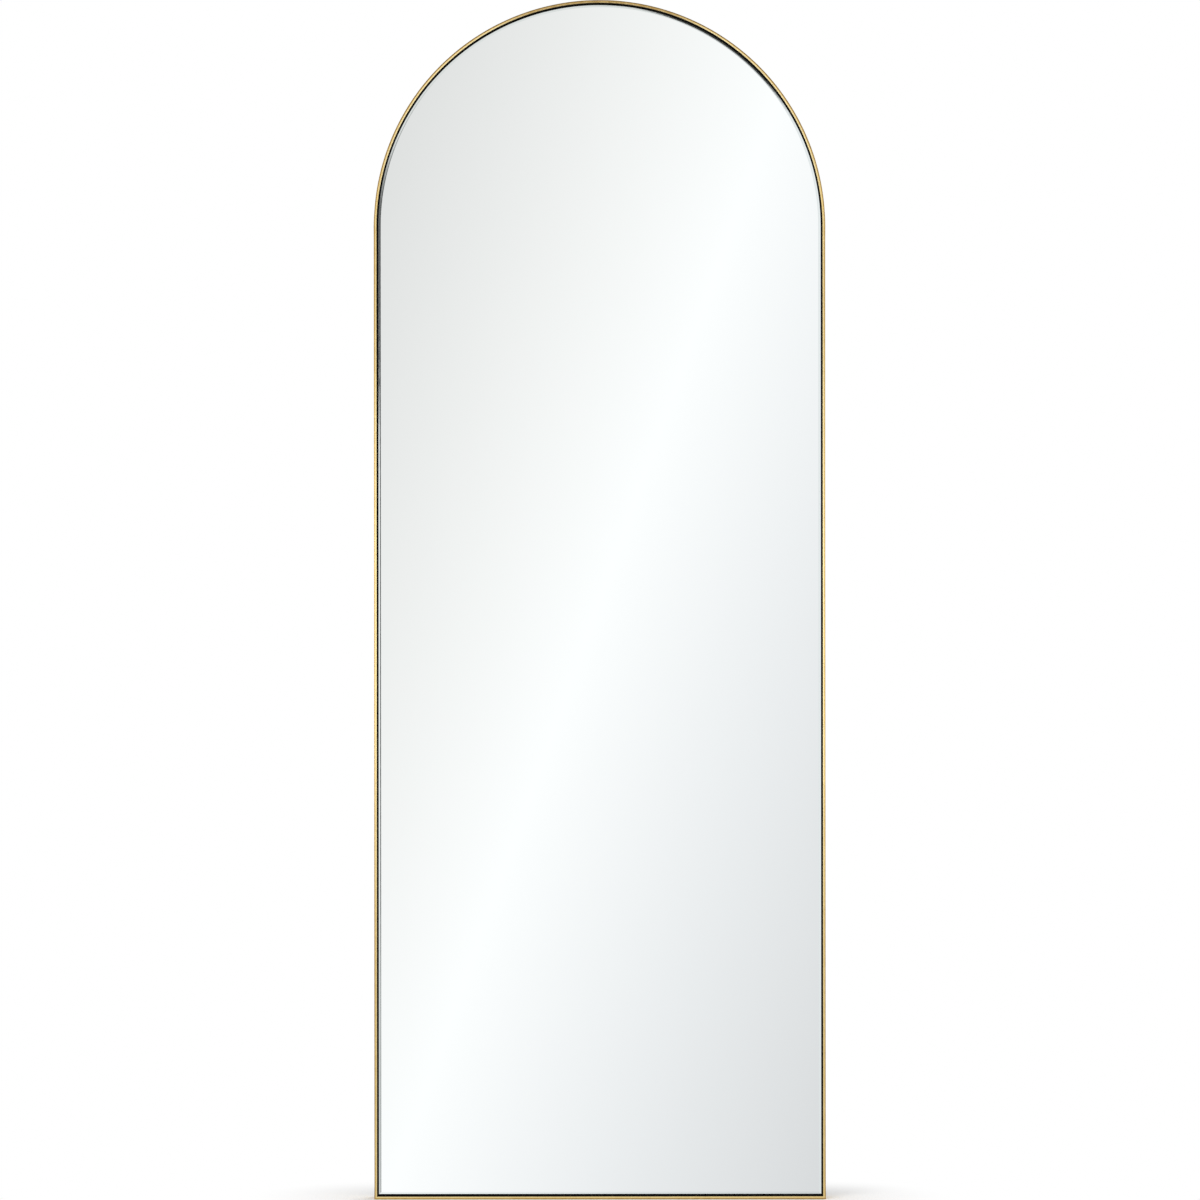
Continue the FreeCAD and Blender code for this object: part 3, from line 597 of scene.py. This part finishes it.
def bar_builder(path, length, seed):
    """Sweeps the section along a bar's path, with a slight wave outside and dents in its front edge."""
    dice = random.Random(seed)
    count = max(1, round(length / DENT_SPACING))
    dents = [length * (number + dice.uniform(*DENT_SHARES)) / count for number in range(count)]
    points, first_arc = bar_section()
    around, perimeter = lengths_round(points, first_arc)
    inside = len(points) - len(WALL_SHARES) - 1

    def shaped(along, across, depth):
        """Where a point of the section lies after the hand-work, still inside the true bar."""
        fade = min(1.0, along / END_FADE, (length - along) / END_FADE)
        share = across / FACE
        sway = 0.5 + 0.5 * noise.noise(Vector((along / LONG_WAVE_LENGTH, seed, WAVE_ROW)))
        spot = Vector((along, across, depth)) / HAMMER_LENGTH
        hammer = 0.5 + 0.5 * noise.noise(spot + Vector((seed * HAMMER_STRIDE, 0, 0)))
        inward = share * fade * (LONG_WAVE * sway + HAMMER * hammer)
        back = max(0.0, 1 - (depth - FRONT) / FRONT_EDGE_RADIUS) * share * fade * HAMMER * hammer
        for dent in dents:
            near = max(0.0, 1 - abs(along - dent) / DENT_REACH)
            edge = max(0.0, 1 - math.hypot(across - FACE, depth - FRONT) / DENT_REACH)
            dented = DENT_DEPTH * near * near * edge
            inward += dented
            back += dented
        return across - inward, depth + back

    def build(work):
        layer = work.loops.layers.uv.new("bar")
        places = stations(length, dents)
        rings = []
        for along in places:
            ring = []
            for across, depth in points:
                new_across, new_depth = shaped(along, across, depth)
                ring.append(work.verts.new(path(along, new_across, new_depth)))
            rings.append(ring)
        for step in range(len(places) - 1):
            for i in range(len(points)):
                j = (i + 1) % len(points)
                near, far = rings[step], rings[step + 1]
                face = work.faces.new((near[i], near[j], far[j], far[i]))
                first = around[i] - perimeter if i >= inside else around[i]
                last = first + math.dist(points[i], points[j])
                corners = ((step, first), (step, last), (step + 1, last), (step + 1, first))
                for loop, (station, v) in zip(face.loops, corners):
                    loop[layer].uv = (places[station] + seed, v)
        for ring, along in ((rings[0], places[0]), (rings[-1], places[-1])):
            hub = work.verts.new(sum((vert.co for vert in ring), Vector()) / len(ring))
            for i, vert in enumerate(ring):
                after = ring[(i + 1) % len(ring)]
                for loop in work.faces.new((vert, after, hub)).loops:
                    loop[layer].uv = (along + seed, LEAF_END + FACE)
                work.edges.get((vert, after)).smooth = False

    return build


def stile_path(side):
    """A stile stands on its mitre: its inner edge starts a face width higher than its outer edge."""
    def path(along, across, depth):
        lift = (FACE - across) * (1 - along / SPRING)
        return side * (WALL + across), depth, along + lift
    return path


def arch_path(along, across, depth):
    """The arch runs over the top from the right end of the spring line to the left."""
    angle = along / HALF_WIDTH
    radius = WALL + across
    return radius * math.cos(angle), depth, SPRING + radius * math.sin(angle)


def rail_path(along, across, depth):
    """The rail runs from left to right, shorter inside than outside by its mitres."""
    return (along / HALF_WIDTH - 1) * (WALL + across), depth, FACE - across


def make_frame(gold):
    """The four gilded bars, gathered in a collection for the lights that reach them alone."""
    bars = [
        ("gilt_right_stile", "frame_right_stile", stile_path(1), SPRING),
        ("gilt_left_stile", "frame_left_stile", stile_path(-1), SPRING),
        ("gilt_arch", "frame_arch", arch_path, math.pi * HALF_WIDTH),
        ("gilt_bottom_rail", "frame_bottom_rail", rail_path, 2 * HALF_WIDTH),
    ]
    gilded = bpy.data.collections.new("gilded")
    for seed, (name, node, path, length) in enumerate(bars, start=1):
        gilded.objects.link(new_piece(name, bar_builder(path, length, seed), [gold], [node]))
    return gilded


def arched_loop(inset):
    """The glass's outline in X and Z, moved inwards, counter-clockwise from the bottom left corner."""
    half = glass_high.x - inset
    low = glass_low.z + inset
    angles = [math.pi * step / OUTLINE_STEPS for step in range(OUTLINE_STEPS + 1)]
    arch = [(half * math.cos(a), SPRING + half * math.sin(a)) for a in angles]
    return [(-half, low), (half, low)] + arch


def glass_builder(work):
    """A sheet with a silvered face, two narrow facets round it, a cut edge and a painted back."""
    front, back = glass_low.y, glass_high.y
    outer_facet = ARRIS_WIDTH - INNER_FACET_WIDTH
    levels = [
        (BACK_SEAM, back), (0.0, back - BACK_SEAM), (0.0, front + ARRIS_DROP),
        (outer_facet, front + INNER_FACET_DROP), (ARRIS_WIDTH, front),
    ]
    finishes = (CUT_EDGE, CUT_EDGE, ARRIS, ARRIS)
    loops = [[work.verts.new((x, depth, z)) for x, z in arched_loop(inset)] for inset, depth in levels]
    for lower, upper, finish in zip(loops, loops[1:], finishes):
        for i in range(len(lower)):
            j = (i + 1) % len(lower)
            work.faces.new((lower[i], lower[j], upper[j], upper[i])).material_index = finish
    work.faces.new(loops[-1]).material_index = SILVER
    work.faces.new(loops[0]).material_index = BACK_PAINT


def solids_of(node):
    """The lowest and highest corners of each separate solid in a node."""
    work = bmesh.new()
    work.from_mesh(nodes[node].data)
    bmesh.ops.remove_doubles(work, verts=work.verts, dist=SAME_POINT)
    left = set(work.verts)
    found = []
    while left:
        front = [left.pop()]
        solid = []
        while front:
            vertex = front.pop()
            solid.append(vertex.co.copy())
            fresh = {edge.other_vert(vertex) for edge in vertex.link_edges} & left
            left -= fresh
            front += fresh
        low = Vector(min(point[axis] for point in solid) for axis in range(3))
        high = Vector(max(point[axis] for point in solid) for axis in range(3))
        found.append((low, high))
    work.free()
    return sorted(found, key=lambda pair: (round(pair[0].z, 4), pair[0].x))


def cross_angles():
    """Angles round a screw head, with one at each corner of the driver's cross."""
    corner = math.atan2(CROSS_HALF_WIDTH, CROSS_REACH)
    rest = math.pi / 4 - corner
    eighth = [0.0, corner / 2] + [corner + rest * share / 4 for share in range(4)] + [math.pi / 4]
    quarter = eighth + [math.pi / 2 - angle for angle in reversed(eighth[1:-1])]
    return [turn * math.pi / 2 + angle for turn in range(4) for angle in quarter]


def cross_radius(angle):
    """How far the driver's cross reaches from the middle of the head in a direction."""
    short, long = sorted((abs(math.cos(angle)), abs(math.sin(angle))))
    return min(CROSS_REACH / long, CROSS_HALF_WIDTH / max(short, LEAST_COSINE))


def add_screw(work, low, high, turn):
    """A round-headed screw along Y with a driver's cross in its head."""
    centre = (low + high) / 2
    radius = (high.x - low.x) / 2
    under = high.y - HEAD_HEIGHT
    rise = HEAD_HEIGHT - HEAD_RIM
    crown = (radius ** 2 + rise ** 2) / (2 * rise)
    angles = cross_angles()

    def crown_level(r):
        return high.y - crown + math.sqrt(crown ** 2 - r ** 2)

    def cross_floor(angle):
        r = cross_radius(angle)
        return crown_level(r) - CROSS_DEPTH * (1 - CROSS_FLOOR_RISE * r / CROSS_REACH)

    def add_ring(reach, level, sharp=False):
        """A ring from functions of the angle for its radius and its level."""
        spots = [(reach(a) * math.cos(a + turn), level(a), reach(a) * math.sin(a + turn)) for a in angles]
        ring = [work.verts.new((centre.x + x, y, centre.z + z)) for x, y, z in spots]
        rings.append((ring, sharp))

    rings = []
    shank_and_rim = [(SHANK_RADIUS, low.y + TIP_LENGTH), (SHANK_RADIUS, under), (radius, under),
                     (radius, under + HEAD_RIM)]
    for r, y in shank_and_rim:
        add_ring(lambda a, r=r: r, lambda a, y=y: y, True)
    for share in HEAD_RING_SHARES:
        add_ring(lambda a, r=radius * share: r, lambda a, r=radius * share: crown_level(r))
    add_ring(cross_radius, lambda a: crown_level(cross_radius(a)), True)
    add_ring(lambda a: CROSS_TAPER * cross_radius(a), cross_floor, True)
    tip = work.verts.new((centre.x, low.y, centre.z))
    hub = work.verts.new((centre.x, high.y - CROSS_DEPTH, centre.z))
    for side in range(len(angles)):
        after = (side + 1) % len(angles)
        work.faces.new((tip, rings[0][0][side], rings[0][0][after]))
        for (lower, _), (upper, _) in zip(rings, rings[1:]):
            work.faces.new((lower[side], upper[side], upper[after], lower[after]))
        work.faces.new((rings[-1][0][side], hub, rings[-1][0][after]))
        for ring, sharp in rings:
            work.edges.get((ring[side], ring[after])).smooth = not sharp
        work.edges.get((rings[-2][0][side], rings[-1][0][side])).smooth = False


def screw_set_builder(node, seed):
    """A screw in the place of each solid of a node, each turned by chance."""
    def build(work):
        dice = random.Random(seed)
        for low, high in solids_of(node):
            add_screw(work, low, high, dice.uniform(0, math.pi / 2))
    return build


def lug_feet():
    """For each lug, a function from a distance along its foot to the wall there and the way inwards."""
    feet = []
    for name in sorted(nodes):
        if not name.startswith("lug_") or name == "lug_screws":
            continue
        low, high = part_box(name)
        middle = (low + high) / 2
        if "arch" in name:
            angle = math.atan2(middle.z - SPRING, middle.x)
            feet.append((arch_foot(angle), high.y))
        elif "bottom" in name:
            feet.append((rail_foot(middle.x), high.y))
        else:
            feet.append((stile_foot(math.copysign(1, middle.x), middle.z), high.y))
    return feet


def arch_foot(angle):
    def foot(offset):
        turned = angle + offset / WALL
        inwards = Vector((-math.cos(turned), 0, -math.sin(turned)))
        return Vector((0, 0, SPRING)) - inwards * WALL, inwards
    return foot


def stile_foot(side, height):
    return lambda offset: (Vector((side * WALL, 0, height + offset)), Vector((-side, 0, 0)))


def rail_foot(x):
    return lambda offset: (Vector((x + offset, 0, FACE)), Vector((0, 0, 1)))


def weld_builder(work):
    """A rippled bead in the corner between each lug's back and the wall that it stands on."""
    for foot, level in lug_feet():
        rings = []
        for step in range(BEAD_STEPS + 1):
            share = step / BEAD_STEPS
            offset = BEAD_LENGTH * (share - 0.5)
            taper = math.sqrt(max(BEAD_END_LEAST, 1 - (2 * share - 1) ** BEAD_END_POWER))
            ripple = abs(math.sin(math.pi * offset / BEAD_PITCH))
            radius = (BEAD_RADIUS + BEAD_RIPPLE * ripple) * taper
            point, inwards = foot(offset)
            corner = Vector((point.x, level, point.z))
            ring = [work.verts.new(corner)]
            for side in range(BEAD_SIDES + 1):
                angle = math.pi / 2 * side / BEAD_SIDES
                reach = radius * (BEAD_FLAT + BEAD_ROUND * abs(math.cos(2 * angle)))
                spot = corner + inwards * reach * math.cos(angle) + Vector((0, reach * math.sin(angle), 0))
                ring.append(work.verts.new(spot))
            rings.append(ring)
        count = len(rings[0])
        for lower, upper in zip(rings, rings[1:]):
            for i in range(count):
                j = (i + 1) % count
                work.faces.new((lower[i], lower[j], upper[j], upper[i]))
        work.faces.new(rings[0])
        work.faces.new(rings[-1])


def dress_nodes(finishes):
    """Gives each CAD node that still shows the finish of its slot."""
    slots = {part["node"]: part["material_slot"] for part in frame["record"]["subparts"]}
    for name, node in nodes.items():
        finish = finishes.get(slots[name])
        if finish and not node.hide_render:
            node.data.materials.clear()
            node.data.materials.append(finish)


# Studio
def studio_level(g, x, y, z):
    """How far a direction lies from the slanted band of light ahead, and how bright the studio is there.
    Pale walls and floor are laid over the band, then the dark strip, patch and card that the ground edge of
    the glass reflects."""
    aside = g.math("ABSOLUTE", x)
    ahead = g.ease(y, *AHEAD_EDGE, 1.0, 0.0)
    upright = g.times(g.band(z, *LEFT_HEIGHTS), ahead)

    slant = g.math("MULTIPLY_ADD", g.math("MAXIMUM", z, BAND_LOWEST), -SLANT, x)
    fall = g.math("MULTIPLY_ADD", g.math("ABSOLUTE", slant), -BAND_FALL, BAND_PEAK)
    level = g.math("MAXIMUM", fall, TENT_LEVEL)

    right_wall = g.times(g.ease(x, *RIGHT_WALL_EDGE), ahead)
    right_tone = g.ease(g.math("MULTIPLY_ADD", x, -SLANT, z), *RIGHT_WALL_FALL, *RIGHT_WALL_TONES)
    level = g.blend(right_wall, level, right_tone)

    leaning = g.math("SUBTRACT", g.math("MULTIPLY_ADD", z, SLANT, aside), SIDE_WALL_MIDDLE)
    side_tone = g.ease(g.math("ABSOLUTE", leaning), *SIDE_WALL_FALL, *SIDE_WALL_TONES)
    level = g.blend(g.ease(aside, *SIDE_WALL_EDGE), level, side_tone)

    upper_left = g.times(g.ease(z, *UPPER_LEFT_EDGE), g.ease(x, *UPPER_LEFT_SIDE, 1.0, 0.0))
    low_or_upper = g.math("MAXIMUM", g.ease(z, *FLOOR_EDGE, 1.0, 0.0), upper_left)
    floor_tone = g.ease(g.math("MULTIPLY_ADD", x, SLANT, z), *FLOOR_FALL, *FLOOR_TONES)
    low_or_upper_tone = g.blend(g.ease(z, *FLOOR_TO_UPPER), floor_tone, UPPER_LEFT_TONE)
    level = g.blend(g.times(low_or_upper, ahead), level, low_or_upper_tone)

    left_tone = g.ease(z, *LEFT_WALL_FALL, *LEFT_WALL_TONES)
    left_tone = g.blend(g.ease(z, *LEFT_PATCH_EDGE), left_tone, LEFT_PATCH_TONE)
    level = g.blend(g.times(g.band(x, *LEFT_WALL_WIDTHS), upright), level, left_tone)
    strip_tone = g.ease(z, *STRIP_FALL, *STRIP_TONES)
    level = g.blend(g.times(g.band(x, *STRIP_WIDTHS), upright), level, strip_tone)

    from_card = g.length(g.math("SUBTRACT", x, CARD_MIDDLE[0]), g.math("SUBTRACT", z, CARD_MIDDLE[1]))
    level = g.blend(g.times(g.ease(from_card, *CARD_EDGE, 1.0, 0.0), ahead), level, CARD_TONE)

    behind_tone = g.ease(g.math("MULTIPLY_ADD", x, BEHIND_LEAN, z), *BEHIND_FALL, *BEHIND_TONES)
    level = g.blend(g.ease(y, *BEHIND_EDGE), level, behind_tone)
    level = g.blend(g.ease(z, *OVERHEAD_EDGE), level, OVERHEAD_TONE)
    return slant, level


def make_world():
    """White to the camera, even to dull surfaces, and the graded studio to shiny ones."""
    white, warm, cool = colour(1, 1, 1), colour(0.996, 1.0, 0.998), colour(0.978, 0.992, 1.012)
    world = bpy.data.worlds.new("studio")
    scene.world = world
    world.use_nodes = True
    world.cycles.sampling_method = "NONE"
    g = Graph(world.node_tree)
    slant, level = studio_level(g, *g.split(g.node("ShaderNodeTexCoord").outputs["Generated"]))
    tint = g.mix(g.ease(slant, *WARM_TO_COOL), warm, cool)

    ray = g.node("ShaderNodeLightPath").outputs
    shiny = g.node("ShaderNodeBackground", {"Color": tint, "Strength": level})
    even = g.node("ShaderNodeBackground", {"Color": white, "Strength": EVEN_LEVEL})
    plain = g.node("ShaderNodeBackground", {"Color": white, "Strength": 1.0})
    lit = g.node("ShaderNodeMixShader", {0: ray["Is Glossy Ray"], 1: even.outputs[0], 2: shiny.outputs[0]})
    seen = g.math("MAXIMUM", ray["Is Camera Ray"], ray["Is Transmission Ray"])
    both = g.node("ShaderNodeMixShader", {0: seen, 1: lit.outputs[0], 2: plain.outputs[0]})
    g.output(both, "ShaderNodeOutputWorld")


def stage_object(name, work, material):
    """Turns a mesh in the making into an object of the stage."""
    mesh = bpy.data.meshes.new(name)
    work.to_mesh(mesh)
    work.free()
    mesh.materials.append(material)
    made = bpy.data.objects.new(name, mesh)
    scene.collection.objects.link(made)
    return made


def make_floor():
    """A pale floor that keeps the shadow near the object and is white further out, for the camera alone."""
    material, g = new_material("pale_floor")
    place = g.place()
    x, y, _ = g.split(place)
    past_sides = g.math("MAXIMUM", g.math("SUBTRACT", g.math("ABSOLUTE", x), HALF_WIDTH), 0.0)
    grain = g.noise(place, FLOOR_GRAIN, detail=3)
    tint = g.mix(grain, colour(0.97, 0.97, 0.97), colour(0.985, 0.985, 0.985))
    near = g.node("ShaderNodeBsdfDiffuse", {"Color": tint})
    white = g.node("ShaderNodeEmission", {"Color": colour(1, 1, 1), "Strength": 1.0})
    seen = g.node("ShaderNodeLightPath").outputs["Is Camera Ray"]
    fade = g.times(g.ease(g.length(past_sides, y), PALE_START, PALE_REACH), seen)
    g.output(g.node("ShaderNodeMixShader", {0: fade, 1: near.outputs[0], 2: white.outputs[0]}))
    work = bmesh.new()
    bmesh.ops.create_circle(work, cap_ends=True, segments=FLOOR_SEGMENTS, radius=FLOOR_RADIUS)
    stage_object("floor", work, material).visible_glossy = False


def facing(centre, target, axis):
    """The turn that points an axis of an object from its centre to a target."""
    return (Vector(target) - Vector(centre)).to_track_quat(axis, "Y").to_euler()


def make_softbox(name, centre, target, width, height, strength, lit):
    """A soft panel that lights the gilding alone, brightest in its middle."""
    material, g = new_material(name)
    x, y, _ = g.split(g.place())
    half_width, half_height = width / 2, height / 2
    inner = 1 - SOFT_EDGE
    fade = g.times(g.band(x, -half_width * inner, half_width * inner, half_width * SOFT_EDGE),
                   g.band(y, -half_height * inner, half_height * inner, half_height * SOFT_EDGE))
    warm_white = colour(1, 0.995, 0.98)
    glow = g.node("ShaderNodeEmission", {"Color": warm_white, "Strength": g.times(fade, strength)})
    clear = g.node("ShaderNodeBsdfTransparent")
    g.output(g.node("ShaderNodeAddShader", {0: clear.outputs[0], 1: glow.outputs[0]}))
    work = bmesh.new()
    corners = [(-half_width, -half_height, 0), (half_width, -half_height, 0), (half_width, half_height, 0),
               (-half_width, half_height, 0)]
    work.faces.new([work.verts.new(corner) for corner in corners])
    panel = stage_object(name, work, material)
    panel.location = centre
    panel.rotation_euler = facing(centre, target, "Z")
    panel.visible_camera = False
    panel.visible_diffuse = False
    panel.visible_shadow = False
    panel.light_linking.receiver_collection = lit


def make_lamp(name, place):
    """A broad soft lamp that shiny surfaces don't show."""
    data = bpy.data.lights.new(name, "AREA")
    data.size = LAMP_SIZE
    data.energy = LAMP_WATTS
    lamp = bpy.data.objects.new(name, data)
    scene.collection.objects.link(lamp)
    lamp.location = place
    lamp.rotation_euler = facing(place, LAMP_TARGET, "-Z")
    lamp.visible_glossy = False


def make_camera():
    """Square to the glass, with the photograph's framing."""
    metres_per_pixel = HEIGHT / (PHOTO_BOTTOM - PHOTO_TOP)
    centre = PHOTO_SIZE / 2
    data = bpy.data.cameras.new("camera")
    data.sensor_width = SENSOR
    data.lens = SENSOR * CAMERA_DISTANCE / (PHOTO_SIZE * metres_per_pixel)
    camera = bpy.data.objects.new("camera", data)
    scene.collection.objects.link(camera)
    camera.location = ((centre - PHOTO_MIDDLE) * metres_per_pixel, FRONT - CAMERA_DISTANCE,
                       (PHOTO_BOTTOM - centre) * metres_per_pixel)
    camera.rotation_euler = (math.radians(90), math.radians(PHOTO_ROLL), 0)
    scene.camera = camera


gold_leaf = make_gold_leaf()
black_steel = make_black_steel()
bright_zinc = make_plated("plated_steel", colour(0.56, 0.57, 0.58), colour(0.76, 0.77, 0.78),
                          colour(0.60, 0.57, 0.50), (1.0, 1.0, 0.12))
yellow_zinc = make_plated("screw_steel", colour(0.60, 0.50, 0.30), colour(0.80, 0.69, 0.43),
                          colour(0.62, 0.50, 0.44), (1.0, 0.2, 1.0))

gilded_bars = make_frame(gold_leaf)
glass_finishes = [make_silver(), make_arris(), make_glass_edge(), make_back_paint()]
new_piece("silvered_mirror", glass_builder, glass_finishes, ["mirror_glass"],
          smooth=False)
screw_nodes = ("lug_screws", "hanger_screws", "bumper_screws")
for screw_seed, screw_node in enumerate(screw_nodes, start=FIRST_SCREW_SEED):
    new_piece(screw_node.replace("screws", "screw_set"), screw_set_builder(screw_node, screw_seed),
              [yellow_zinc], [screw_node])
new_piece("lug_weld_beads", weld_builder, [black_steel])
dress_nodes({
    "foam_tape": make_tape_foam(),
    "black_board": make_board(),
    "black_steel": black_steel,
    "plated_steel": bright_zinc,
    "bumper_rubber": make_rubber(),
})

scene.view_settings.view_transform = "Standard"
make_world()
make_floor()
for softbox in SOFTBOXES:
    make_softbox(*softbox, gilded_bars)
for lamp_name, lamp_place in LAMPS.items():
    make_lamp(lamp_name, lamp_place)
make_camera()
